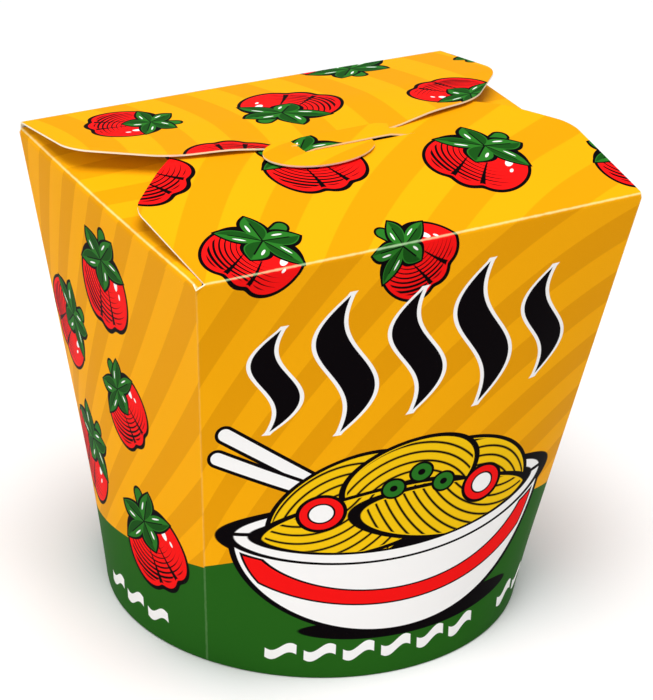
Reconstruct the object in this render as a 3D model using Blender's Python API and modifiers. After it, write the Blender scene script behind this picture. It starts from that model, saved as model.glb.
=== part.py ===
"""Noodle takeaway box, shut, at its real size in metres, +Z up.

The box is one folded and glued card blank, standing on the floor with the centre of its base
at the origin and its front wall towards -Y. A round base grows into an oblong top, two side
flaps fold in under a front flap, and a back flap lies over them all. The back flap dips under
a bridge in the front flap, and its tongue comes out of the bridge's slit and lies on the front
flap. The shut box can't be seen into, so it is solid below its flaps.
"""

from math import cos, pi, radians, sin

import bmesh
import bpy
from mathutils import Vector

# The box: an oblong top on a round base
TOP_WIDTH = 0.104
TOP_DEPTH = 0.0836
WALL_HEIGHT = 0.100
BASE_RADIUS = 0.0454
CREASE_ANGLE = radians(57.7)  # from the front or back normal to a corner crease's foot
FOLD_BOW = 0.0005  # how far the middle of each top fold stands out from its corners
CARD = 0.00045

# The base disc is set in from the foot of the wall
FOOT_RIM = 0.0014
FOOT_RECESS = 0.003

# Side flaps slope up from their folds
SIDE_FLAP_SLOPE = 0.2
SIDE_FLAP_INSET = 0.0003

# The front flap bows up from its fold to a crest
FRONT_CREST_HEIGHT = 0.0064
FRONT_CREST_REACH = 0.036

# The back flap slopes straight up, and springs a little above its fold, most at its left end
BACK_SPRING = 0.0013
BACK_SPRING_REACH = 0.024
BACK_SLOPE = 0.148

# Outline of both flaps, mirrored at x = 0: side edge, shoulder, slanting edge, inner corner
FLAP_HALF_WIDTH = 0.0515
SHOULDER_Y = 0.0172
INNER_HALF_WIDTH = 0.0365
FRONT_INNER_Y = 0.0015
BACK_INNER_Y = 0.0005
CORNER_ROUNDING = 0.0045
LAP_HALF_WIDTH = 0.0335  # the front flap's end under the back flap
LAP_Y = 0.006

# Lock: neck, bridge, slit and tongue
NECK_HALF_WIDTH = 0.0123
NECK_END_Y = -0.0046
NECK_DIP = 0.0011
NECK_DIP_HALF_WIDTH = 0.026
BRIDGE_BACK_Y = -0.0019
SLIT_Y = -0.0081
SLIT_HALF_LENGTH = 0.0128
SLIT_CENTRE_X = 0.0023
BRIDGE_END = 0.005  # how far the bridge runs down past each end of the slit
BRIDGE_LIFT = 0.0009
BRIDGE_SUNK = 0.00005
TONGUE_CENTRE_X = -0.0068
TONGUE_HALF_WIDTH = 0.0128
TONGUE_REACH = 0.0076
TONGUE_LIFT = 0.0009
TONGUE_ROOT = 0.0023  # how far the tongue runs back under the bridge

# Relief slots where the folds meet at the top corners
RELIEF_LENGTH = 0.0026
RELIEF_WIDTH = 0.0009
RELIEF_DEPTH = 0.0015

# Fineness of the mesh
LONG_WALL_STEPS = 28
SHORT_WALL_STEPS = 20
WALL_LEVELS = 12
FLAP_STEP = 0.0035
TONGUE_STEPS = 24

HALF_WIDTH = TOP_WIDTH / 2
HALF_DEPTH = TOP_DEPTH / 2


def clear_scene():
    for obj in list(bpy.data.objects):
        bpy.data.objects.remove(obj, do_unlink=True)


def new_collection(name, hidden=False):
    collection = bpy.data.collections.new(name)
    collection.hide_render = hidden
    bpy.context.scene.collection.children.link(collection)
    return collection


def card_material(name, colour, roughness):
    material = bpy.data.materials.new(name)
    material.use_nodes = True
    shader = material.node_tree.nodes["Principled BSDF"]
    shader.inputs["Base Color"].default_value = (*colour, 1.0)
    shader.inputs["Roughness"].default_value = roughness
    shader.inputs["Metallic"].default_value = 0.0
    return material


def add_object(name, bm, collection, helper=False):
    bmesh.ops.recalc_face_normals(bm, faces=bm.faces)
    mesh = bpy.data.meshes.new(name)
    bm.to_mesh(mesh)
    bm.free()
    obj = bpy.data.objects.new(name, mesh)
    collection.objects.link(obj)
    if helper:
        obj.hide_render = True
        obj.display_type = "WIRE"
    return obj


def smoothstep(start, end, value):
    t = min(max((value - start) / (end - start), 0.0), 1.0)
    return t * t * (3 - 2 * t)


def front_height(x, y):
    """Top of the front flap: a parabola from the front fold over the crest."""
    past_crest = (y + HALF_DEPTH) / FRONT_CREST_REACH - 1
    return WALL_HEIGHT + FRONT_CREST_HEIGHT * (1 - past_crest**2)


def back_height(x, y):
    """Top of the back flap: a plane, lifted off its fold, bent down in the middle to the neck."""
    from_fold = HALF_DEPTH - y
    to_right = (1 + x / HALF_WIDTH) / 2
    spring = BACK_SPRING * (1 - to_right * max(1 - from_fold / BACK_SPRING_REACH, 0))
    across = 1 - smoothstep(NECK_HALF_WIDTH, NECK_DIP_HALF_WIDTH, abs(x))
    along = smoothstep(SHOULDER_Y, NECK_END_Y, y)
    return WALL_HEIGHT + spring + BACK_SLOPE * from_fold - NECK_DIP * across * along


def bridge_height(x, y):
    """Top of the bridge: it runs up and down again over the slit's length."""
    off_centre = abs(x - SLIT_CENTRE_X)
    arch = 1 - smoothstep(SLIT_HALF_LENGTH - BRIDGE_END, SLIT_HALF_LENGTH + BRIDGE_END, off_centre)
    return front_height(x, y) + BRIDGE_LIFT * arch - BRIDGE_SUNK


def tongue_height(x, y):
    return front_height(x, y) + TONGUE_LIFT


def wall_sections():
    """Matching points on the base circle and on the top oblong, once round from the front left."""
    front = 2 * CREASE_ANGLE
    side = pi - front
    corners = [
        Vector((-HALF_WIDTH, -HALF_DEPTH)),
        Vector((HALF_WIDTH, -HALF_DEPTH)),
        Vector((HALF_WIDTH, HALF_DEPTH)),
        Vector((-HALF_WIDTH, HALF_DEPTH)),
    ]
    spans = [(front, LONG_WALL_STEPS), (side, SHORT_WALL_STEPS)] * 2
    angle = -pi / 2 - CREASE_ANGLE
    foot, top = [], []
    for number, (span, steps) in enumerate(spans):
        start, end = corners[number], corners[(number + 1) % 4]
        for step in range(steps):
            t = step / steps
            turn = angle + span * t
            foot.append(Vector((BASE_RADIUS * cos(turn), BASE_RADIUS * sin(turn))))
            outwards = (start + end).normalized()
            top.append(start.lerp(end, t) + outwards * FOLD_BOW * 4 * t * (1 - t))
        angle += span
    return foot, top


def build_walls(collection):
    """Four walls in one loft between the round base and the oblong top."""
    foot, top = wall_sections()
    bm = bmesh.new()
    rings = []
    for level in range(WALL_LEVELS + 1):
        t = level / WALL_LEVELS
        points = [low.lerp(high, t) for low, high in zip(foot, top)]
        rings.append([bm.verts.new((p.x, p.y, WALL_HEIGHT * t)) for p in points])
    for below, above in zip(rings, rings[1:]):
        for i in range(len(below)):
            j = (i + 1) % len(below)
            bm.faces.new((below[i], below[j], above[j], above[i]))
    bm.faces.new(reversed(rings[0]))
    bm.faces.new(rings[-1])
    return add_object("carton", bm, collection)


def prism(name, profile, across, half_length, collection):
    """A profile in the plane of `across` and Z, drawn out both ways along the other axis."""
    bm = bmesh.new()
    verts = []
    for distance, height in profile:
        place = (distance, -half_length) if across == "X" else (-half_length, distance)
        verts.append(bm.verts.new((*place, height)))
    drawn = bmesh.ops.extrude_face_region(bm, geom=[bm.faces.new(verts)])["geom"]
    moved = [item for item in drawn if isinstance(item, bmesh.types.BMVert)]
    shift = (0, 2 * half_length, 0) if across == "X" else (2 * half_length, 0, 0)
    bmesh.ops.translate(bm, verts=moved, vec=shift)
    return add_object(name, bm, collection, helper=True)


def build_filling(helpers):
    """The shut box's top below its flaps: side flaps' slopes, cut off under front and back flap."""
    low = WALL_HEIGHT - 0.001
    sunk = CARD / 2
    reach = HALF_WIDTH - SIDE_FLAP_INSET
    peak = WALL_HEIGHT + SIDE_FLAP_SLOPE * reach
    gable = [(-reach, low), (reach, low), (reach, WALL_HEIGHT), (0, peak), (-reach, WALL_HEIGHT)]
    slopes = prism("side_flap_slopes", gable, "X", HALF_DEPTH, helpers)

    depth = HALF_DEPTH - SIDE_FLAP_INSET
    highest = WALL_HEIGHT + FRONT_CREST_HEIGHT - 2 * CARD
    vault = [(-depth, low), (-depth, WALL_HEIGHT)]
    y = -depth + FLAP_STEP
    while y < depth:
        under_front = front_height(0, min(y, SLIT_Y)) - sunk
        under_back = back_height(HALF_WIDTH, y) - sunk
        vault.append((y, min(under_front, under_back, highest)))
        y += FLAP_STEP
    vault += [(depth, WALL_HEIGHT), (depth, low)]
    filling = prism("filling", vault, "Y", HALF_WIDTH, helpers)
    join(filling, slopes, "INTERSECT")
    return filling


def sheet(name, outline, rounded, rounding, height, collection):
    """A card flap: a flat outline with rounded corners, cut into strips, bent to height(x, y)."""
    bm = bmesh.new()
    verts = [bm.verts.new((x, y, 0)) for x, y in outline]
    bm.faces.new(verts)
    corners = [verts[i] for i in rounded]
    if corners:
        bmesh.ops.bevel(bm, geom=corners, offset=rounding, segments=6, profile=0.5, affect="VERTICES")
    for axis in (Vector((1, 0, 0)), Vector((0, 1, 0))):
        reach = HALF_WIDTH if axis.x else HALF_DEPTH
        step = 2 * FLAP_STEP if axis.x else FLAP_STEP
        for number in range(-int(reach / step), int(reach / step) + 1):
            everything = bm.verts[:] + bm.edges[:] + bm.faces[:]
            bmesh.ops.bisect_plane(bm, geom=everything, plane_co=axis * number * step, plane_no=axis)
    bmesh.ops.triangulate(bm, faces=bm.faces)
    for vert in bm.verts:
        vert.co.z = height(vert.co.x, vert.co.y)
    flap = add_object(name, bm, collection, helper=True)
    if flap.data.polygons[0].normal.z < 0:
        flap.data.flip_normals()
    thickness = flap.modifiers.new("card", "SOLIDIFY")
    thickness.thickness = CARD
    thickness.offset = -1
    return flap


def mirrored(right_half):
    """Closes an outline given from back to front down its right side."""
    return right_half + [(-x, y) for x, y in reversed(right_half)]


def build_front_flap(helpers):
    fold = -HALF_DEPTH + SIDE_FLAP_INSET
    right = [
        (NECK_HALF_WIDTH, BRIDGE_BACK_Y),
        (NECK_HALF_WIDTH, LAP_Y),
        (LAP_HALF_WIDTH, LAP_Y),
        (INNER_HALF_WIDTH, FRONT_INNER_Y),
        (FLAP_HALF_WIDTH, -SHOULDER_Y),
        (FLAP_HALF_WIDTH, fold),
    ]
    outline = mirrored(right)
    return sheet("front_flap", outline, (4, 7), CORNER_ROUNDING, front_height, helpers)


def build_back_flap(helpers):
    right = [
        (FLAP_HALF_WIDTH, HALF_DEPTH),
        (FLAP_HALF_WIDTH, SHOULDER_Y),
        (INNER_HALF_WIDTH, BACK_INNER_Y),
        (NECK_HALF_WIDTH, NECK_END_Y),
    ]
    outline = mirrored(right)
    return sheet("back_flap", outline, (1, 2, 5, 6), CORNER_ROUNDING, back_height, helpers)


def build_bridge(helpers):
    left = SLIT_CENTRE_X - SLIT_HALF_LENGTH - BRIDGE_END
    right = SLIT_CENTRE_X + SLIT_HALF_LENGTH + BRIDGE_END
    outline = [(left, BRIDGE_BACK_Y), (left, SLIT_Y), (right, SLIT_Y), (right, BRIDGE_BACK_Y)]
    return sheet("bridge", outline, (), 0, bridge_height, helpers)


def build_tongue(helpers):
    """Half-moon tongue, with its straight back edge under the bridge."""
    outline = []
    for step in range(TONGUE_STEPS + 1):
        turn = pi + pi * step / TONGUE_STEPS
        x = TONGUE_CENTRE_X + TONGUE_HALF_WIDTH * cos(turn)
        outline.append((x, SLIT_Y + TONGUE_REACH * sin(turn)))
    root = SLIT_Y + TONGUE_ROOT
    outline += [(outline[-1][0], root), (outline[0][0] + TONGUE_ROOT, root)]
    return sheet("tongue", outline, (), 0, tongue_height, helpers)


def build_foot_recess(helpers):
    """The hollow under the base disc, inside the foot of the wall."""
    bm = bmesh.new()
    radius = BASE_RADIUS - FOOT_RIM
    below = 0.001
    bmesh.ops.create_cone(
        bm, cap_ends=True, segments=96, radius1=radius, radius2=radius, depth=FOOT_RECESS + below
    )
    bmesh.ops.translate(bm, verts=bm.verts, vec=(0, 0, (FOOT_RECESS - below) / 2))
    return add_object("foot_recess", bm, helpers, helper=True)


def build_relief_slots(helpers):
    """A short slot across each top corner, between the side fold and the flap's end."""
    slots = []
    for x_side in (-1, 1):
        for y_side in (-1, 1):
            bm = bmesh.new()
            radius = RELIEF_WIDTH / 2
            depth = 2 * RELIEF_DEPTH + BACK_SPRING
            bmesh.ops.create_cone(
                bm, cap_ends=True, segments=16, radius1=radius, radius2=radius, depth=depth
            )
            bmesh.ops.scale(bm, verts=bm.verts, vec=(RELIEF_LENGTH / RELIEF_WIDTH, 1, 1))
            place = (
                x_side * (HALF_WIDTH - RELIEF_WIDTH / 2 - RELIEF_LENGTH / 2),
                y_side * (HALF_DEPTH - RELIEF_WIDTH),
                WALL_HEIGHT - RELIEF_DEPTH + depth / 2,
            )
            bmesh.ops.translate(bm, verts=bm.verts, vec=place)
            slots.append(add_object("relief_slot", bm, helpers, helper=True))
    return slots


def join(obj, other, operation):
    boolean = obj.modifiers.new(other.name, "BOOLEAN")
    boolean.object = other
    boolean.operation = operation
    boolean.solver = "EXACT"


def main():
    clear_scene()
    box = new_collection("noodle_box")
    helpers = new_collection("cutters", hidden=True)
    carton = build_walls(box)
    carton.data.materials.append(card_material("coated_card", (0.85, 0.43, 0.02), 0.38))
    join(carton, build_filling(helpers), "UNION")
    for build in (build_front_flap, build_back_flap, build_bridge, build_tongue):
        join(carton, build(helpers), "UNION")
    join(carton, build_foot_recess(helpers), "DIFFERENCE")
    for slot in build_relief_slots(helpers):
        join(carton, slot, "DIFFERENCE")
    carton.data.shade_smooth()
    carton.data.set_sharp_from_angle(angle=radians(30))


main()
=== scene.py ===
import math

import bmesh
import bpy
from mathutils import Matrix, Vector


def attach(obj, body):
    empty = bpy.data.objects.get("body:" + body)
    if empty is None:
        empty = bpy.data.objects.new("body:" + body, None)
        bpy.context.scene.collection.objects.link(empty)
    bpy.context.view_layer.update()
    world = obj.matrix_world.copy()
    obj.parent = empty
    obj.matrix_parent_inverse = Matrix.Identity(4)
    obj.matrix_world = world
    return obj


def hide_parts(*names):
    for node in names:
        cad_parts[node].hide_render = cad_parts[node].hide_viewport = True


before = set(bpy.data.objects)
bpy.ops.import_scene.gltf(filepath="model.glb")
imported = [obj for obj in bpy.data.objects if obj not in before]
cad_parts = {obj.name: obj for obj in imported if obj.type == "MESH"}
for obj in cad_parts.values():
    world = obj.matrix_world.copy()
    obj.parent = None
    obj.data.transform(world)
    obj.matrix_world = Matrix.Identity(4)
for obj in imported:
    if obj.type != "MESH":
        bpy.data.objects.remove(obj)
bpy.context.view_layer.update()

# Wall sleeve: one printed sheet of card, wrapped round the base disc into a cone-like
# sleeve, so it is round at the foot and a 104 x 84 mm oblong at the top, with four
# upright creases. At its foot the card is rolled under round the edge of the base.

TOP_WIDTH = 0.104
TOP_DEPTH = 0.0836
HALF_WIDTH = TOP_WIDTH / 2
HALF_DEPTH = TOP_DEPTH / 2
WALL_HEIGHT = 0.100
BASE_RADIUS = 0.0454
CREASE_ANGLE = math.radians(57.7)  # where a crease meets the base, from the front
FOLD_BOW = 0.0005  # how far a top fold bows out at its middle
CARD = 0.00038
SEAM = 0.0022  # how far below the folds the sleeve ends and the flaps' card begins
EAR = 0.0003  # card left standing at each top corner between two flaps
WIDE_EAR = 0.0021  # the same at the front left, where a relief hole is open
HOLE_EAR = 0.0013  # and round the corner from it, on the left wall
EAR_DIP = 0.0012  # how far an ear's tip hangs below the folds
EAR_DIP_POWER = 60  # keeps the dip to the last millimetre beside a crease
FOOT_RIM = 0.0014  # width of the rolled rim that the box stands on
FOOT_RECESS = 0.003  # height of the base disc's underside
SHARP_ANGLE = math.radians(35)

SUN_YELLOW = (0.90, 0.395, 0.004)
RAY_YELLOW = (0.77, 0.322, 0.003)
INK_BLACK = (0.003, 0.002, 0.003)
PEPPER_RED = (0.90, 0.008, 0.008)
LEAF_GREEN = (0.022, 0.168, 0.017)
DEEP_GREEN = (0.009, 0.074, 0.008)
BAND_GREEN = (0.018, 0.112, 0.010)
PAPER_WHITE = (0.92, 0.91, 0.90)
CARD_CREAM = (0.93, 0.83, 0.63)
NOODLE_YELLOW = (0.90, 0.55, 0.006)
# Pale tone of the folds: ink rubbed off, together with a painted highlight of the bend.
RUBBED_AND_HIGHLIGHT_PALE = (0.30, 0.44, 0.24, 1.0)  # screened over the ink
MM = 1000.0
WALL_PRINT = WALL_HEIGHT * MM


def wall_point(side, across, height):
    """A point of wall 0 front, 1 right, 2 back or 3 left, across from -1 to 1 as seen."""
    front = side % 2 == 0
    half_span = CREASE_ANGLE if front else math.pi / 2 - CREASE_ANGLE
    half_long = HALF_WIDTH if front else HALF_DEPTH
    half_short = HALF_DEPTH if front else HALF_WIDTH
    turn = -math.pi / 2 + across * half_span
    foot = Vector((BASE_RADIUS * math.cos(turn), BASE_RADIUS * math.sin(turn)))
    top = Vector((across * half_long, -half_short - FOLD_BOW * (1 - across**2)))
    place = foot.lerp(top, height / WALL_HEIGHT)
    return Matrix.Rotation(side * math.pi / 2, 3, "Z") @ Vector((place.x, place.y, height))


def wall_print(side, across, height):
    """Where a wall point lies on the flat print, in millimetres: across from the panel's
    middle, and up from the foot. The right wall has the left wall's print, mirrored."""
    front = side % 2 == 0
    across = -across if side == 1 else across
    half_foot = (CREASE_ANGLE if front else math.pi / 2 - CREASE_ANGLE) * BASE_RADIUS
    half_top = HALF_WIDTH if front else HALF_DEPTH
    half = half_foot + (half_top - half_foot) * height / WALL_HEIGHT
    return across * half * MM, height * MM


def add_piece(name, bm, materials):
    """Makes a sheet of card an object at the origin that rides with the box. It is given
    its thickness inwards from the printed face: bare card inside, raw cut rim."""
    mesh = bpy.data.meshes.new(name)
    bm.to_mesh(mesh)
    bm.free()
    obj = bpy.data.objects.new(name, mesh)
    bpy.context.scene.collection.objects.link(obj)
    for material in materials:
        mesh.materials.append(material)
    mesh.shade_smooth()
    mesh.set_sharp_from_angle(angle=SHARP_ANGLE)
    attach(obj, "root")
    card = obj.modifiers.new("card", "SOLIDIFY")
    card.thickness = CARD
    card.offset = -1
    card.material_offset = 1
    card.material_offset_rim = 2
    graph = bpy.context.evaluated_depsgraph_get()
    solid = bpy.data.meshes.new_from_object(obj.evaluated_get(graph))
    obj.modifiers.clear()
    obj.data = solid
    solid.set_sharp_from_angle(angle=SHARP_ANGLE)
    return obj


class Value:
    """A socket of a shader graph. Arithmetic on it adds Math nodes."""

    def __init__(self, tree, socket=None):
        self.tree = tree
        self.socket = socket

    def node(self, kind, settings=None, inputs=None, output=0):
        """Adds any node: its settings first, then its sockets' values or links."""
        made = self.tree.nodes.new(kind)
        for key, setting in (settings or {}).items():
            setattr(made, key, setting)
        for key, given in (inputs or {}).items():
            if isinstance(given, Value):
                self.tree.links.new(given.socket, made.inputs[key])
            else:
                made.inputs[key].default_value = given
        return Value(self.tree, made.outputs[output])

    def math(self, operation, *others):
        inputs = dict(enumerate((self, *others)))
        return self.node("ShaderNodeMath", {"operation": operation}, inputs)

    def __add__(self, other):
        return self.math("ADD", other)

    __radd__ = __add__

    def __sub__(self, other):
        return self.math("SUBTRACT", other)

    def __rsub__(self, other):
        return self.node("ShaderNodeMath", {"operation": "SUBTRACT"}, {0: other, 1: self})

    def __mul__(self, other):
        return self.math("MULTIPLY", other)

    __rmul__ = __mul__

    def __truediv__(self, other):
        return self.math("DIVIDE", other)

    def __abs__(self):
        return self.math("ABSOLUTE")

    def __mod__(self, other):
        return self.math("FLOORED_MODULO", other)


def sharp(distance, soft=0.08):
    """1 inside a shape whose signed distance is given, 0 outside, with a soft edge."""
    settings = {"operation": "MULTIPLY_ADD", "use_clamp": True}
    return distance.node("ShaderNodeMath", settings, {0: distance, 1: -1 / soft, 2: 0.5})


def length(x, y):
    """Distance from the origin."""
    return (x * x + y * y).math("SQRT")


def turned(x, y, angle):
    """The coordinates turned by an angle, which may vary over the print."""
    if isinstance(angle, Value):
        c, s = angle.math("COSINE"), angle.math("SINE")
    else:
        c, s = math.cos(angle), math.sin(angle)
    return x * c + y * s, y * c - x * s


def paint(under, over, mask):
    """Lays one colour over another where the mask is 1. In a Mix node, sockets 6 and 7
    and output 2 are the colour ones."""
    settings = {"data_type": "RGBA"}
    colours = [shade if isinstance(shade, Value) else (*shade, 1.0) for shade in (under, over)]
    return mask.node("ShaderNodeMix", settings, {0: mask, 6: colours[0], 7: colours[1]}, 2)


def rays(u, v, layout):
    """Two-tone yellow rays that swirl out from a centre on the flat print. The twist is
    the turn in radians over the first 100 mm, and the curl how it grows further out."""
    facing = layout.get("facing", 1.0)
    across, along = (u - layout["centre"][0]) * facing, (v - layout["centre"][1]) * facing
    angle = along.math("ARCTAN2", across)
    far = length(across, along) * 0.01
    swirl = angle + far * layout["twist"] + far * far * layout.get("curl", 0.0)
    return (swirl * layout["count"] + layout["start"]).math("SINE")


def oval(x, y, wide, tall):
    """Signed distance to an ellipse about the origin, near enough for a printed line."""
    return (length(x / wide, y / tall) - 1) * min(wide, tall)


def both(first, second):
    """Signed distance to what two shapes share."""
    return first.math("MAXIMUM", second)


def either(first, second):
    """Signed distance to two shapes taken together."""
    return first.math("MINIMUM", second)


def stick(x, y, start, end, thin, thick):
    """Signed distance to a rounded stick that widens from its start to its end."""
    run, rise = end[0] - start[0], end[1] - start[1]
    size = math.hypot(run, rise)
    along = ((x - start[0]) * run + (y - start[1]) * rise) / size**2
    part = along.node("ShaderNodeClamp", {}, {0: along})
    off = length(x - start[0] - part * run, y - start[1] - part * rise)
    return off - (thin + part * (thick - thin))


def inked(base, shape, colour, line=0.45, keep=None):
    """A flat shape of one colour with a black line round it."""
    outer, inner = sharp(shape - line), sharp(shape)
    if keep is not None:
        outer, inner = outer * keep, inner * keep
    return paint(paint(base, INK_BLACK, outer), colour, inner)


LOBES_DOWN = 2.2  # from the pepper's middle to the middle of its lobes
LEAF_COUNT = 5
LEAF_LENGTH = 11.0
LEAVES_UP = 6.6
LEAF_SQUASH = 1.55


def pepper(base, u, v, scale, keep):
    """A sweet pepper in ink: three lobes, hatching on the shaded side, leaves, a stem."""
    x, y = u / scale, v / scale + LOBES_DOWN
    left, right = oval(x + 4.9, y, 6.0, 8.0), oval(x - 4.9, y, 6.0, 8.0)
    middle = oval(x, y + 0.9, 5.6, 8.4)
    body = left.math("SMOOTH_MIN", right, 1.0).math("SMOOTH_MIN", middle, 1.0)
    base = inked(base, body, PEPPER_RED, 0.75, keep)
    shaded = (x * -0.55 - y * 0.83) / 8 + 0.30
    ring = abs((oval(x - 2.5, y - 4.5, 13.0, 12.0) / 1.15) % 1.0 - 0.5)
    hatch = sharp(ring - shaded * 0.25, 0.1) * sharp(body + 0.95, 0.25)
    groove = either(abs(left - middle), abs(right - middle)) * 0.5
    seam = sharp(groove - (0.20 - y * 0.012), 0.1) * sharp(y - 0.5, 2.0) * sharp(body + 0.3)
    ink = (hatch + seam).math("MINIMUM", 1.0)
    base = paint(base, INK_BLACK, ink * keep)
    glint = either(oval(x - 6.4, y - 2.8, 0.8, 1.5), oval(x - 7.6, y - 0.2, 0.35, 0.7))
    base = paint(base, PAPER_WHITE, sharp(glint) * keep)
    stem = stick(x, y, (0.0, 6.5), (1.9, 12.6), 0.9, 1.5)
    base = inked(base, stem, LEAF_GREEN, 0.6, keep)
    leaf_x, leaf_y = x, (y - LEAVES_UP) * LEAF_SQUASH
    sector = 2 * math.pi / LEAF_COUNT
    angle = leaf_y.math("ARCTAN2", leaf_x) - 0.31
    turn_in = angle % sector - sector / 2
    folded = abs(turn_in)
    reach = length(leaf_x, leaf_y)
    along, beside = reach * folded.math("COSINE"), reach * folded.math("SINE")
    part = along / LEAF_LENGTH
    leaves = (beside - part * (1 - part) * 11.5) * 0.8
    base = inked(base, leaves, LEAF_GREEN, 0.75, keep)
    dark_side = sharp(turn_in, 0.04) * sharp(leaves + 0.25)
    base = paint(base, DEEP_GREEN, dark_side * keep)
    vein = sharp(beside - 0.2, 0.1) * sharp(along - 8.0, 0.4)
    base = paint(base, INK_BLACK, vein * keep)
    shine = both(oval(along - 5.4, beside - 1.5, 1.5, 0.30), turn_in * -4.0)
    return paint(base, PAPER_WHITE, sharp(shine) * keep)


PEPPER_RADIUS = 11.0  # kept clear between a pepper's middle and an upright crease
PAST_FOLD = 106.0  # a height on the print from which the creases no longer matter
PEPPER_SCALE = 0.78
PEPPER_GROWTH = 0.20  # this, the shift and the turn are the ranges that vary by chance
PEPPER_SHIFT = 2.0
PEPPER_TURN = 2.6


def scattered_peppers(base, u, v, layout):
    """Peppers in a half-drop layout, each one turned and sized a little differently."""
    grid = layout["peppers"]
    half_foot, half_top = layout["halves"]
    wide, tall = grid["cell"]
    turn = grid["turn"]
    su, sv = turned(u - grid["origin"][0], v - grid["origin"][1], turn)
    column = (su / wide).math("FLOOR")
    drop = (column % 2.0) * (tall / 2)
    row = ((sv + drop) / tall).math("FLOOR")
    number = column * 7.0 + row * 3.0 + grid["seed"]
    noise = {"noise_dimensions": "1D"}
    first = number.node("ShaderNodeTexWhiteNoise", noise, {"W": number})
    second = number.node("ShaderNodeTexWhiteNoise", noise, {"W": number + 0.5})
    middle_u, middle_v = (column + 0.5) * wide, (row + 0.5) * tall - drop
    x = su - middle_u + (first - 0.5) * PEPPER_SHIFT
    y = sv - middle_v + (second - 0.5) * PEPPER_SHIFT
    place_u, place_v = turned(middle_u, middle_v, -turn)
    place_u, place_v = place_u + grid["origin"][0], place_v + grid["origin"][1]
    x, y = turned(x, y, (first - 0.5) * PEPPER_TURN + grid["lean"])
    room = half_foot + place_v * ((half_top - half_foot) / WALL_PRINT) - PEPPER_RADIUS
    whole = either(abs(place_u) - room, PAST_FOLD - place_v)
    lowest, highest = grid["reach"]
    within = both(lowest - place_v, place_v - highest)
    allowed = sharp(both(whole, within), 0.01)
    if "picture_room" in grid:
        half_wide, top = grid["picture_room"]
        beside = sharp(half_wide - abs(place_u), 0.01)
        allowed = allowed * beside.math("MAXIMUM", sharp(top - place_v, 0.01))
    return pepper(base, x, y, PEPPER_SCALE + second * PEPPER_GROWTH, allowed)


BOWL_MIDDLE = (-2.0, 36.0)
BOWL_HALF_WIDTH = 39.0
STRAND_WIDTH = 2.1


def bowl_picture(base, u, v):
    """A full bowl of noodles in ink, over the lower half of the front: its shadow, two
    sticks, the far rim, bundles of noodles with toppings, then the near side."""
    x, y = u - BOWL_MIDDLE[0], v - BOWL_MIDDLE[1]
    base = paint(base, INK_BLACK, sharp(oval(x - 3.0, y + 24.0, 27.0, 3.0)))
    for start, end in (((-8.0, 4.0), (-42.0, 26.0)), ((-5.0, 3.0), (-43.5, 20.0))):
        base = inked(base, stick(x, y, start, end, 0.9, 1.6), PAPER_WHITE, 0.8)
    rim, well = oval(x, y, BOWL_HALF_WIDTH, 8.0), oval(x, y, 36.0, 6.0)
    base = inked(base, rim, PAPER_WHITE, 0.9)
    base = paint(base, INK_BLACK, sharp(well))
    inside = either(well + 0.3, y * -1.0)
    bundles = [  # middle and half sizes, centre of the strands, lean
        ((-13.0, 4.5, 18.5, 12.5), (-13.0, -3.0), 0.28),
        ((14.0, 4.0, 18.5, 11.5), (16.0, -4.0), -0.22),
        ((0.5, 10.0, 15.5, 8.5), (0.0, -3.0), 0.10),
        ((-10.0, 1.5, 23.0, 6.6), (-24.0, 19.0), 0.12),
        ((11.0, 0.5, 22.5, 6.0), (27.0, 20.0), -0.14),
    ]
    for (mid_x, mid_y, wide, tall), centre, lean in bundles:
        turn_x, turn_y = turned(x - mid_x, y - mid_y, lean)
        heap = both(oval(turn_x, turn_y, wide, tall), inside)
        base = inked(base, heap, NOODLE_YELLOW, 0.8)
        strand = length(x - centre[0], y - centre[1]) / STRAND_WIDTH
        line = abs(strand % 1.0 - 0.5)
        base = paint(base, INK_BLACK, sharp(0.37 - line, 0.12) * sharp(heap + 0.2))
    for place in ((-20.0, 5.0), (18.5, 4.0)):
        disc = oval(x - place[0], y - place[1], 4.8, 3.8)
        base = inked(base, disc, PEPPER_RED, 0.7)
        base = inked(base, disc + 1.7, PAPER_WHITE, 0.35)
    for place in ((-4.0, 8.5), (2.5, 11.0), (8.0, 7.5)):
        onion = oval(x - place[0], y - place[1], 2.4, 1.9)
        base = inked(base, onion, LEAF_GREEN, 0.5)
        base = paint(base, INK_BLACK, sharp(onion + 1.2))
    outside = rim * -1.0 + 0.2
    body = both(oval(x, y, BOWL_HALF_WIDTH, 25.0), both(outside, y))
    base = inked(base, body, PAPER_WHITE, 0.9)
    lip = both(both(rim, well * -1.0), y)
    base = inked(base, lip, PAPER_WHITE, 0.5)
    stripe = abs(oval(x, y, BOWL_HALF_WIDTH, 17.0)) - 1.5
    return inked(base, both(both(stripe, y + 3.0), body + 0.9), PEPPER_RED, 0.35)


STEAM_CURLS = [  # place, foot, height, thickness and sway of each
    (-35.0, 62.0, 24.0, 3.6, 3.6),
    (-19.5, 60.0, 31.0, 4.4, 4.2),
    (-3.0, 62.0, 27.0, 4.0, 3.8),
    (13.0, 60.0, 32.0, 4.4, 4.2),
    (29.0, 62.0, 25.0, 3.7, 3.6),
]


def steam_ornament(base, u, v):
    """Bold curls of steam, black with a white line round them, above the bowl."""
    shape = None
    for place, low, tall, thick, sway in STEAM_CURLS:
        part = (v - low) / tall
        bent = u - place - (part * 5.9 + 0.2).math("SINE") * sway - part * 3.0
        width = (part * math.pi).math("SINE").math("MAXIMUM", 0.0)
        curl = both(abs(bent) * 0.8 - width * thick * 0.8, abs(part - 0.5) * tall - tall / 2)
        shape = curl if shape is None else either(shape, curl)
    base = paint(base, PAPER_WHITE, sharp(shape - 0.75))
    return paint(base, INK_BLACK, sharp(shape))


WAVE_CELL = 8.4
WAVE_HALF_LENGTH = 3.4
WAVE_HALF_WIDTH = 1.2
WAVE_HEIGHT = 6.6


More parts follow.
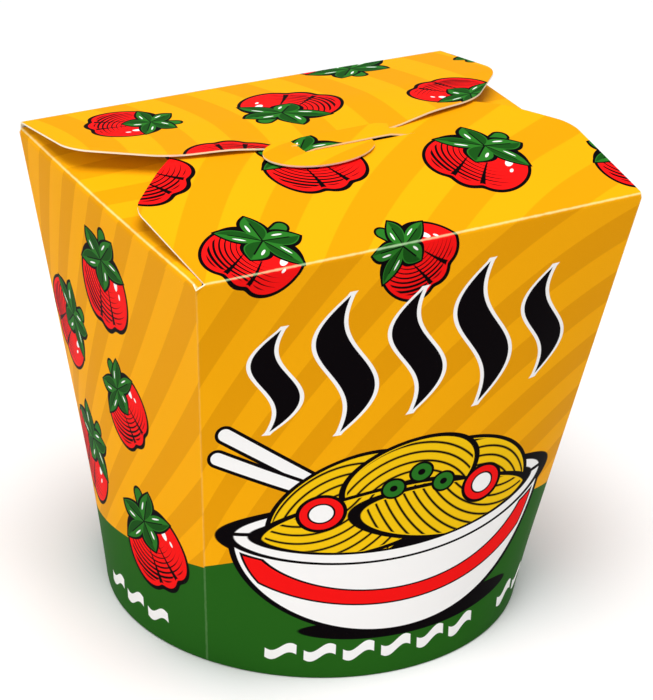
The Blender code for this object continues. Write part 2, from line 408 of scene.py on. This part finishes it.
def wave_marks(base, u, v, spans):
    """A row of short white waves on the green band, in spans counted in cells."""
    local = (u / WAVE_CELL) % 1.0 - 0.5
    wave = (local * 2 * math.pi).math("SINE") * 1.1
    off_line = abs(v - WAVE_HEIGHT - wave) - WAVE_HALF_WIDTH
    mark = both(off_line, abs(local) * WAVE_CELL - WAVE_HALF_LENGTH)
    mask = None
    for first, last in spans:
        low, high = first * WAVE_CELL, last * WAVE_CELL
        span = sharp(abs(u - (low + high) / 2) - (high - low) / 2)
        mask = span if mask is None else mask.math("MAXIMUM", span)
    return paint(base, PAPER_WHITE, sharp(mark) * mask)


def worn_and_highlit_folds(base, u, v, layout):
    """Ink rubbed pale along the top fold, and more faintly along the upright creases; the same
    pale line is also a painted highlight along each bend.
    """
    half_foot, half_top = layout["halves"]
    place = u.node("ShaderNodeCombineXYZ", {}, {0: u, 1: v})
    blotches = {"Vector": place, "Scale": 0.6, "Detail": 3.0}
    noise = place.node("ShaderNodeTexNoise", {"noise_dimensions": "2D"}, blotches)
    crease = (half_foot + v * ((half_top - half_foot) / WALL_PRINT)) - abs(u)
    on_fold = sharp(abs(v - 100.1) - noise * 0.35 - 0.08, 0.35)
    on_crease = sharp(both(abs(crease - 0.12), v - 99.0) - noise * 0.2, 0.25) * 0.22
    # Rubbed ink and a painted highlight together make the pale line on the folds and creases.
    rubbed_and_highlit = on_fold.math("MAXIMUM", on_crease)
    settings = {"data_type": "RGBA", "blend_type": "SCREEN"}
    return rubbed_and_highlit.node("ShaderNodeMix", settings, {0: rubbed_and_highlit, 6: base, 7: RUBBED_AND_HIGHLIGHT_PALE}, 2)


def printed_card(name, layout):
    """Card printed with fields of colour, under a coat so matt that it hardly gleams. A
    layout gives the rays, the green band's height, slope and bend at the panel's middle,
    the peppers' grid and how low and high they reach, the waves' spans, and half the
    panel's width at the foot and at the top, all in millimetres."""
    material = bpy.data.materials.new(name)
    material.use_nodes = True
    tree = material.node_tree
    shader = tree.nodes["Principled BSDF"]
    mapped = Value(tree).node("ShaderNodeUVMap", {"uv_map": "print"}, {}, "UV")
    u = mapped.node("ShaderNodeSeparateXYZ", {}, {0: mapped}, "X")
    v = mapped.node("ShaderNodeSeparateXYZ", {}, {0: mapped}, "Y")
    colour = paint(RAY_YELLOW, SUN_YELLOW, sharp(0 - rays(u, v, layout["rays"]), 0.12))
    high, slope, bend = layout["band"]
    colour = paint(colour, BAND_GREEN, sharp(v - u * slope - u * u * bend - high, 0.1))
    if "peppers" in layout:
        colour = scattered_peppers(colour, u, v, layout)
    if layout.get("picture"):
        colour = steam_ornament(colour, u, v)
        colour = bowl_picture(colour, u, v)
    if "waves" in layout:
        colour = wave_marks(colour, u, v, layout["waves"])
    # Painted highlight, with rubbed wear, along the folds and creases.
    colour = worn_and_highlit_folds(colour, u, v, layout)
    tree.links.new(colour.socket, shader.inputs["Base Color"])
    shader.inputs["Roughness"].default_value = 0.45
    shader.inputs["Specular IOR Level"].default_value = 0.01
    shader.inputs["Specular Tint"].default_value = (1.0, 0.86, 0.55, 1.0)
    return material


def bare_card(name, colour, roughness):
    """Uncoated board, as on the inside and on cut edges."""
    material = bpy.data.materials.new(name)
    material.use_nodes = True
    shader = material.node_tree.nodes["Principled BSDF"]
    shader.inputs["Base Color"].default_value = (*colour, 1.0)
    shader.inputs["Roughness"].default_value = roughness
    return material


FRONT_HALVES = (CREASE_ANGLE * BASE_RADIUS * MM, HALF_WIDTH * MM)
SIDE_HALVES = ((math.pi / 2 - CREASE_ANGLE) * BASE_RADIUS * MM, HALF_DEPTH * MM)
front_print = printed_card(
    "front_print",
    {
        "rays": {
            "centre": (-33.5, -47.9),
            "count": 52.08,
            "twist": 0.89,
            "curl": -0.118,
            "start": -1.662,
        },
        "band": (34.6, 0.0, -0.0034),
        "peppers": {
            "cell": (31.0, 35.0),
            "origin": (4.0, 8.0),
            "turn": 0.25,
            "lean": 0.2,
            "seed": 2.0,
            "reach": (32.0, 160.0),
            "picture_room": (43.0, 92.0),
        },
        "picture": True,
        "waves": [(-4, 2), (3, 6)],
        "halves": FRONT_HALVES,
    },
)
side_print = printed_card(
    "side_print",
    {
        "rays": {
            "centre": (-89.8, -81.2),
            "count": 101.5,
            "twist": -0.033,
            "start": -1.784,
        },
        "band": (20.6, 0.2, 0.0),
        "peppers": {
            "cell": (27.0, 29.0),
            "origin": (3.0, 9.0),
            "turn": 0.25,
            "lean": 0.2,
            "seed": 5.0,
            "reach": (22.0, 88.0),
        },
        "waves": [(-1, 2)],
        "halves": SIDE_HALVES,
    },
)
back_print = printed_card(
    "back_print",
    {
        "rays": {
            "centre": (107.35, 69.65),
            "facing": -1.0,
            "count": 20.79,
            "twist": 1.794,
            "start": 0.985,
        },
        "band": (12.0, 0.0, 0.0011),
        "peppers": {
            "cell": (31.0, 35.0),
            "origin": (14.0, 2.0),
            "turn": 0.25,
            "lean": 0.2,
            "seed": 9.0,
            "reach": (20.0, 160.0),
        },
        "waves": [(-4, 4)],
        "halves": FRONT_HALVES,
    },
)
inside_card = bare_card("inside_card", (0.80, 0.74, 0.62), 0.7)
cut_edge = bare_card("cut_edge", CARD_CREAM, 0.75)

HEM = [  # inset and height round the rolled foot, from the inside to the outside
    (FOOT_RIM, FOOT_RECESS + 0.0004),
    (FOOT_RIM, 0.0008),
    (FOOT_RIM - 0.0001, 0.0003),
    (FOOT_RIM - 0.0004, 0.0),
    (0.0005, 0.0),
    (0.0002, 0.0001),
    (0.00005, 0.0003),
    (0.0, 0.0007),
]


def hem_point(side, across, inset, height):
    """A point of the foot, where the card rolls under and up inside."""
    place = wall_point(side, across, height)
    flat = place.xy.normalized() * (place.xy.length - inset)
    return Vector((flat.x, flat.y, height))


WALL_MATERIALS = (0, 3, 6, 3)  # each wall's print, with its inside and edge after it
WALL_STEPS = (42, 30, 42, 30)
WALL_LEVELS = 26
SAME = 1e-6  # places nearer than this are one


def build_sleeve():
    """A grid wrapped round into the sleeve; its top row keeps only the corner ears."""
    columns = []
    for side, steps in enumerate(WALL_STEPS):
        half = HALF_WIDTH if side % 2 == 0 else HALF_DEPTH
        start = -1 + (WIDE_EAR if side == 0 else EAR) / half
        end = 1 - (HOLE_EAR if side == 3 else EAR) / half
        inner = [(side, start + (end - start) * i / steps) for i in range(steps + 1)]
        columns += [(side, -1.0), *inner, (side, 1.0)]
    low, high = HEM[-1][1], WALL_HEIGHT - SEAM
    levels = range(1, WALL_LEVELS + 1)
    rows = HEM + [(0.0, low + (high - low) * i / WALL_LEVELS) for i in levels]
    rows.append((0.0, WALL_HEIGHT))
    bm = bmesh.new()
    bmesh.ops.create_grid(bm, x_segments=len(columns) - 1, y_segments=len(rows) - 1, size=1)
    print_map = bm.loops.layers.uv.new("print")
    flat_place = {}
    for vert in bm.verts:
        column = round((vert.co.x + 1) / 2 * (len(columns) - 1))
        row = round((vert.co.y + 1) / 2 * (len(rows) - 1))
        flat_place[vert] = (*columns[column], *rows[row])
    spare = []
    for face in bm.faces:
        sides = {flat_place[vert][0] for vert in face.verts}
        side = min(sides) if sides != {0, 3} else 3
        face.material_index = WALL_MATERIALS[side]
        for loop in face.loops:
            loop_side, across, inset, height = flat_place[loop.vert]
            loop[print_map].uv = wall_print(loop_side, across, height - inset)
        from_middle = max(abs(flat_place[vert][1]) for vert in face.verts)
        top = max(flat_place[vert][3] for vert in face.verts)
        if top > high + SAME and from_middle < 1:
            spare.append(face)
    for vert, (side, across, inset, height) in flat_place.items():
        dip = EAR_DIP * abs(across) ** EAR_DIP_POWER if height > high + SAME else 0.0
        vert.co = hem_point(side, across, inset, height - dip)
    bmesh.ops.delete(bm, geom=spare, context="FACES")
    bmesh.ops.remove_doubles(bm, verts=bm.verts, dist=SAME)
    bmesh.ops.recalc_face_normals(bm, faces=bm.faces)
    return bm


sleeve_materials = [
    material
    for printed in (front_print, side_print, back_print)
    for material in (printed, inside_card, cut_edge)
]
sleeve = add_piece("wall_sleeve", build_sleeve(), sleeve_materials)
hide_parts("carton")

# Side flaps: the two short ends of the same sheet, folded in first, so that they slope
# up towards the middle and lie under the other two. Only their outer parts show.

FRONT_CREST_HEIGHT = 0.0064  # of the front flap, which presses on the side flaps
FRONT_CREST_REACH = 0.036
FRONT_EDGE_SLOPE = 0.165  # of the front flap's side edges, flat under its crown
FRONT_DOME_HALF_WIDTH = 0.024
SIDE_SLOPE = 0.2
SIDE_SLOPE_START = HALF_WIDTH - 0.0003
UNDER_FRONT_FLAP = CARD + 0.0001
FOLD = 0.0010  # how far the front and back folds' bend reaches to either side
SIDE_FOLD = 0.0018  # a softer bend, as the side flaps are pressed down
SIDE_REACH = 0.018
SIDE_END_LEAST = 0.004
SIDE_ROUNDING = 0.004
TAPER_START = 0.0004  # how far past the fold a flap's edge begins to slant in
HOLE_RUN = -0.0007  # where the left flap's card closes the foot of the relief hole
HOLE_TOP = 0.0014
SIDE_TAPER_FRONT = 1.2
RIGHT_TAPER_BACK = 1.3
LEFT_TAPER_BACK = 1.1
BOW_REACH = 0.02  # how far past a fold its bow is gone
CUTS_OVER_FOLD = 11
CLOSE = 0.00003  # corners nearer than this are joined


def smoothstep(start, end, value):
    """0 up to the start, 1 from the end, and an even S between them."""
    t = min(max((value - start) / (end - start), 0.0), 1.0)
    return t * t * (3 - 2 * t)


def flap_point(side, across, run, height_at, fold=FOLD):
    """Bends a flat point over the fold: run is its distance past the fold line."""
    front = side % 2 == 0
    half_long = HALF_WIDTH if front else HALF_DEPTH
    half_short = HALF_DEPTH if front else HALF_WIDTH
    turn = Matrix.Rotation(side * math.pi / 2, 3, "Z")
    bow = FOLD_BOW * (1 - (across / half_long) ** 2)

    def on_flap(distance):
        depth = -half_short + distance - bow * max(1 - distance / BOW_REACH, 0)
        place = turn @ Vector((across, depth, 0))
        place.z = height_at(place.x, place.y)
        return place

    if run >= fold:
        return on_flap(run)
    below = wall_point(side, across / half_long, WALL_HEIGHT + min(run, -fold))
    if run <= -fold:
        return below
    t = (run + fold) / (2 * fold)
    return below * (1 - t) ** 2 + on_flap(0) * 2 * t * (1 - t) + on_flap(fold) * t**2


ACROSS = Vector((1, 0, 0))
ALONG = Vector((0, 1, 0))


def cut_across(bm, axis, positions):
    """Cuts a flat sheet by straight lines at the given places along an axis."""
    for position in positions:
        everything = bm.verts[:] + bm.edges[:] + bm.faces[:]
        bmesh.ops.bisect_plane(bm, geom=everything, plane_co=axis * position, plane_no=axis)


def flat_flap(outline, rounded, rounding, steps, fold=FOLD):
    """A flat outline with rounded corners, cut into small cells, fine over the fold."""
    bm = bmesh.new()
    verts = [bm.verts.new((x, y, 0)) for x, y in outline]
    face = bm.faces.new(verts)
    face.normal_update()
    if face.normal.z < 0:
        bmesh.ops.reverse_faces(bm, faces=[face])
    bmesh.ops.bevel(
        bm,
        geom=[verts[i] for i in rounded],
        offset=rounding,
        offset_type="OFFSET",
        segments=8,
        profile=0.5,
        affect="VERTICES",
        material=-1,
    )
    starts = (min(vert.co.x for vert in bm.verts), fold)
    for i, axis in enumerate((ACROSS, ALONG)):
        end = max(vert.co[i] for vert in bm.verts)
        count = int((end - starts[i]) / steps[i])
        cut_across(bm, axis, [starts[i] + steps[i] * (k + 1) for k in range(count)])
    middle = CUTS_OVER_FOLD // 2
    cut_across(bm, ALONG, [-fold + fold * k / middle for k in range(CUTS_OVER_FOLD)])
    bmesh.ops.remove_doubles(bm, verts=bm.verts, dist=CLOSE)
    return bm


def print_flat(bm, height, mirror=1):
    """Lays the print on the flat card, in millimetres, mirrored where it is -1."""
    print_map = bm.loops.layers.uv.new("print")
    for face in bm.faces:
        for loop in face.loops:
            flat = loop.vert.co
            loop[print_map].uv = (mirror * flat.x * MM, (flat.y + height) * MM)


def front_height(x, y):
    """The front flap's crowned top face, straight along its side edges."""
    run = max(y + HALF_DEPTH, 0)
    crown = FRONT_CREST_HEIGHT * (1 - (run / FRONT_CREST_REACH - 1) ** 2)
    beside = smoothstep(FRONT_DOME_HALF_WIDTH, HALF_WIDTH, abs(x))
    return WALL_HEIGHT + crown + beside * min(FRONT_EDGE_SLOPE * run - crown, 0)


def side_height(x, y):
    """The gable's slope, kept under the front flap that presses on it."""
    gable = WALL_HEIGHT + SIDE_SLOPE * max(SIDE_SLOPE_START - abs(x), 0)
    return min(gable, front_height(x, min(y, 0.0)) - UNDER_FRONT_FLAP)


def build_side_flap(name, side):
    """Side 1 is the right one and side 3 the left one, which closes the relief hole."""
    half = HALF_DEPTH - EAR
    right = side == 1
    back_taper = RIGHT_TAPER_BACK if right else LEFT_TAPER_BACK
    tapers = (SIDE_TAPER_FRONT, back_taper) if right else (back_taper, SIDE_TAPER_FRONT)
    ends = [max(half - taper * SIDE_REACH, SIDE_END_LEAST) for taper in tapers]
    if right:
        front_edge = [(half, -SEAM), (half, TAPER_START)]
    else:
        hole, wall = HALF_DEPTH - HOLE_EAR, HALF_DEPTH - CARD
        front_edge = [(hole, -SEAM), (hole, HOLE_RUN), (wall, HOLE_RUN), (wall, HOLE_TOP)]
    end = [(ends[1], SIDE_REACH), (-ends[0], SIDE_REACH)]
    back_edge = [(-half, TAPER_START), (-half, -SEAM)]
    corners = (len(front_edge), len(front_edge) + 1)
    outline = front_edge + end + back_edge
    bm = flat_flap(outline, corners, SIDE_ROUNDING, (0.003, 0.002), SIDE_FOLD)
    print_flat(bm, WALL_HEIGHT, -1 if right else 1)
    for vert in bm.verts:
        vert.co = flap_point(side, vert.co.x, vert.co.y, side_height, SIDE_FOLD)
    add_piece(name, bm, [side_print, inside_card, cut_edge])


build_side_flap("side_flap_left", 3)
build_side_flap("side_flap_right", 1)

# Front flap: folded back over the side flaps from the front wall, crowned by the spring
# of the card. A slit across it leaves a narrow bridge, under which the lock is pushed.

FLAP_HALF_WIDTH = HALF_WIDTH - EAR
FRONT_SHOULDER_Y = -0.0138
SHOULDER_ROUNDING = 0.003
INNER_HALF_WIDTH = 0.0365
FRONT_INNER_Y = 0.0015
LAP_HALF_WIDTH = 0.0335
LAP_Y = 0.006
NOTCH_HALF_WIDTH = 0.0160
BRIDGE_BACK_Y = -0.0019
SLIT_Y = -0.0081
SLIT_LEFT = -0.0105
SLIT_RIGHT = 0.0180
BRIDGE_LIFT = 0.00092
BRIDGE_RISE_START = SLIT_LEFT - 0.002
BRIDGE_RISE_END = SLIT_LEFT + 0.0035
BRIDGE_FALL_START = 0.0100
BRIDGE_FALL_END = 0.0150
FLAP_CELL = (0.002, 0.0012)


def bridge_lift(x):
    """How far the bridge stands up over the neck, held down at both ends of the slit."""
    rise = smoothstep(BRIDGE_RISE_START, BRIDGE_RISE_END, x)
    return BRIDGE_LIFT * rise * (1 - smoothstep(BRIDGE_FALL_START, BRIDGE_FALL_END, x))


def build_front_flap():
    """The outline goes down the flap's right side, by its places on the shut box."""
    right = [
        (NOTCH_HALF_WIDTH, BRIDGE_BACK_Y),
        (NOTCH_HALF_WIDTH, LAP_Y),
        (LAP_HALF_WIDTH, LAP_Y),
        (INNER_HALF_WIDTH, FRONT_INNER_Y),
        (FLAP_HALF_WIDTH, FRONT_SHOULDER_Y),
        (FLAP_HALF_WIDTH, -HALF_DEPTH - SEAM),
    ]
    outline = [(x, y + HALF_DEPTH) for x, y in right]
    left = [(-x, y) for x, y in reversed(outline)]
    left[0] = (WIDE_EAR - HALF_WIDTH, left[0][1])
    bm = flat_flap(outline + left, (4, 7), SHOULDER_ROUNDING, FLAP_CELL)
    slit_run = SLIT_Y + HALF_DEPTH
    cut_across(bm, ALONG, [slit_run])
    cut_across(bm, ACROSS, [SLIT_LEFT, SLIT_RIGHT])
    print_flat(bm, WALL_HEIGHT)
    slit = [
        edge
        for edge in bm.edges
        if all(abs(vert.co.y - slit_run) < SAME for vert in edge.verts)
        and all(SLIT_LEFT - SAME < vert.co.x < SLIT_RIGHT + SAME for vert in edge.verts)
    ]
    bmesh.ops.split_edges(bm, edges=slit)
    lifts = {}
    for vert in bm.verts:
        behind = all(face.calc_center_median().y > slit_run for face in vert.link_faces)
        in_bridge = vert.co.y > slit_run - SAME and behind
        lifts[vert] = bridge_lift(vert.co.x) if in_bridge else 0.0
    for vert, lift in lifts.items():
        past_bridge = smoothstep(BRIDGE_BACK_Y, 0.0, vert.co.y - HALF_DEPTH)
        vert.co = flap_point(0, vert.co.x, vert.co.y, front_height)
        vert.co.z += lift * (1 - past_bridge)
    add_piece("front_flap", bm, [front_print, inside_card, cut_edge])


build_front_flap()

# Back flap: folded forward last, over the side flaps and the end of the front flap. Its
# narrow neck dips under the bridge. It stands a little off its fold, most at the left.

SHOULDER_Y = 0.0172
CORNER_ROUNDING = 0.0045
BACK_SPRING = 0.0013  # how high the flap stands off its fold
BACK_SPRING_REACH = 0.024
BACK_SLOPE = 0.146
BACK_INNER_Y = 0.0005
NECK_HALF_WIDTH = 0.0123
NECK_END_Y = -0.0046
NECK_DIP = 0.0011
NECK_DIP_HALF_WIDTH = 0.026


def back_height(x, y):
    """The back flap's top face, with its neck pressed down towards the bridge."""
    from_fold = HALF_DEPTH - min(y, HALF_DEPTH)
    to_right = (1 + x / HALF_WIDTH) / 2
    spring = BACK_SPRING * (1 - to_right * max(1 - from_fold / BACK_SPRING_REACH, 0))
    across = 1 - smoothstep(NECK_HALF_WIDTH, NECK_DIP_HALF_WIDTH, abs(x))
    along = smoothstep(SHOULDER_Y, NECK_END_Y, y)
    return WALL_HEIGHT + spring + BACK_SLOPE * from_fold - NECK_DIP * across * along


def build_back_flap():
    """The outline goes up the flap's right side, by its distance past the fold."""
    right = [
        (FLAP_HALF_WIDTH, -SEAM),
        (FLAP_HALF_WIDTH, HALF_DEPTH - SHOULDER_Y),
        (INNER_HALF_WIDTH, HALF_DEPTH - BACK_INNER_Y),
        (NECK_HALF_WIDTH, HALF_DEPTH - NECK_END_Y),
    ]
    outline = right + [(-x, y) for x, y in reversed(right)]
    bm = flat_flap(outline, (1, 2, 5, 6), CORNER_ROUNDING, FLAP_CELL)
    print_flat(bm, WALL_HEIGHT)
    for vert in bm.verts:
        vert.co = flap_point(2, vert.co.x, vert.co.y, back_height)
    add_piece("back_flap", bm, [back_print, inside_card, cut_edge])


build_back_flap()

# Lock tongue: the rounded end of the back flap's neck. It comes out of the slit from
# under the bridge and lies on the front flap, its free edge sprung up a little.

TONGUE_CENTRE = (-0.0066, -0.0081)
TONGUE_HALF_WIDTH = 0.0126
TONGUE_FRONT = 0.0074
TONGUE_BACK = 0.0072
TONGUE_GAP = 0.00005
TONGUE_LIFT = 0.0005
TONGUE_CELL = 0.001
HIDDEN_BACK = SLIT_Y + 0.003  # past these the tongue is under the bridge
HIDDEN_RIGHT = SLIT_LEFT + 0.0005


def tongue_height(x, y):
    """The tongue's top face, sprung up in front of the slit and to the left of it."""
    in_front = smoothstep(0.0, 0.005, SLIT_Y - y)
    beside = smoothstep(-0.001, 0.004, SLIT_LEFT - x)
    return front_height(x, y) + CARD + TONGUE_GAP + TONGUE_LIFT * max(in_front, beside)


tongue_print = printed_card(
    "tongue_print",
    {
        "rays": {"centre": (-33.5, -47.9), "count": 52.08, "twist": 0.89, "start": 0.4},
        "band": (0.0, 0.0, 0.0),
        "halves": FRONT_HALVES,
    },
)


def build_tongue():
    bm = bmesh.new()
    bmesh.ops.create_circle(bm, cap_ends=True, segments=96, radius=1.0)
    for vert in bm.verts:
        reach = TONGUE_FRONT if vert.co.y < 0 else TONGUE_BACK
        vert.co.x = TONGUE_CENTRE[0] + TONGUE_HALF_WIDTH * vert.co.x
        vert.co.y = TONGUE_CENTRE[1] + reach * vert.co.y
    cut_across(bm, ACROSS, [k * TONGUE_CELL - 0.020 for k in range(28)])
    cut_across(bm, ALONG, [k * TONGUE_CELL - 0.016 for k in range(16)])
    hidden = [
        face
        for face in bm.faces
        if face.calc_center_median().y > HIDDEN_BACK
        and face.calc_center_median().x > HIDDEN_RIGHT
    ]
    bmesh.ops.delete(bm, geom=hidden, context="FACES")
    print_flat(bm, WALL_HEIGHT + HALF_DEPTH)
    for vert in bm.verts:
        vert.co.z = tongue_height(vert.co.x, vert.co.y)
    add_piece("lock_tongue", bm, [tongue_print, inside_card, cut_edge])


build_tongue()

# Base: a round disc of bare board, glued inside the foot of the sleeve a little above
# the rolled rim, so that the box stands on the rim.

DISC_RADIUS = BASE_RADIUS - FOOT_RIM + 0.0002
DISC_RIM = 0.0016
DISC_STEP = 0.0008
DISC_DIP = 0.0004  # how far the rim hangs below the middle, where it is pressed


def build_base():
    bm = bmesh.new()
    bmesh.ops.create_circle(bm, cap_ends=True, segments=144, radius=DISC_RADIUS)
    bmesh.ops.inset_region(bm, faces=bm.faces[:], thickness=DISC_RIM, depth=0.0)
    centre = [max(bm.faces, key=lambda face: face.calc_area())]
    bmesh.ops.inset_region(bm, faces=centre, thickness=DISC_STEP, depth=0.0)
    for vert in bm.verts:
        inner = smoothstep(DISC_RADIUS - 0.0012, DISC_RADIUS - 0.0022, vert.co.xy.length)
        vert.co.z = FOOT_RECESS - DISC_DIP + DISC_DIP * inner
    bmesh.ops.reverse_faces(bm, faces=bm.faces)
    add_piece("base_disc", bm, [inside_card, inside_card, cut_edge])


build_base()

# Studio: a pale floor, a soft lamp almost overhead, a weaker one low on the left, and a
# camera with a long lens where the photograph was taken from.

AZIMUTH = math.radians(-29.79)
ELEVATION = math.radians(27.52)
ROLL = math.radians(2.287)
DISTANCE = 0.7583
AIM_HEIGHT = 0.04998
AIM_RIGHT = 0.001684
AIM_UP = 0.004252
LENS = 180.0
SENSOR = 36.0
LAMP_AIM = Vector((0, 0, 0.06))

floor_shape = bmesh.new()
bmesh.ops.create_grid(floor_shape, x_segments=1, y_segments=1, size=3.0)
floor_mesh = bpy.data.meshes.new("floor")
floor_shape.to_mesh(floor_mesh)
floor_shape.free()
floor = bpy.data.objects.new("floor", floor_mesh)
bpy.context.scene.collection.objects.link(floor)
floor_mesh.materials.append(bare_card("floor_paper", (0.92, 0.92, 0.92), 0.8))

world = bpy.data.worlds.new("studio")
bpy.context.scene.world = world
world.use_nodes = True
background = world.node_tree.nodes["Background"]
background.inputs["Color"].default_value = (1.0, 1.0, 1.0, 1.0)
background.inputs["Strength"].default_value = 0.38


def soft_light(name, azimuth, elevation, distance, size, power, glossy=True):
    """A square panel of light aimed at the box."""
    lamp = bpy.data.lights.new(name, "AREA")
    lamp.size = size
    lamp.energy = power
    obj = bpy.data.objects.new(name, lamp)
    a, e = math.radians(azimuth), math.radians(elevation)
    back = Vector((math.sin(a) * math.cos(e), -math.cos(a) * math.cos(e), math.sin(e)))
    obj.location = LAMP_AIM + back * distance
    obj.rotation_mode = "QUATERNION"
    obj.rotation_quaternion = (-back).to_track_quat("-Z", "Y")
    obj.visible_glossy = glossy
    bpy.context.scene.collection.objects.link(obj)


soft_light("key", azimuth=-35, elevation=81, distance=1.2, size=0.8, power=15.9)
soft_light("fill", azimuth=-70, elevation=17, distance=1.4, size=1.0, power=4.4, glossy=False)

back = Vector(
    (
        math.sin(AZIMUTH) * math.cos(ELEVATION),
        -math.cos(AZIMUTH) * math.cos(ELEVATION),
        math.sin(ELEVATION),
    )
)
right = Vector((math.cos(AZIMUTH), math.sin(AZIMUTH), 0))
up = back.cross(right)
side = math.cos(ROLL) * right + math.sin(ROLL) * up
over = -math.sin(ROLL) * right + math.cos(ROLL) * up
target = Vector((0, 0, AIM_HEIGHT)) + side * AIM_RIGHT + over * AIM_UP
camera_data = bpy.data.cameras.new("camera")
camera_data.lens = LENS
camera_data.sensor_width = SENSOR
camera = bpy.data.objects.new("camera", camera_data)
bpy.context.scene.collection.objects.link(camera)
eye = target + back * DISTANCE
turn = Matrix((side, over, back)).transposed()
camera.matrix_world = Matrix.Translation(eye) @ turn.to_4x4()
bpy.context.scene.camera = camera
bpy.context.scene.view_settings.view_transform = "Standard"
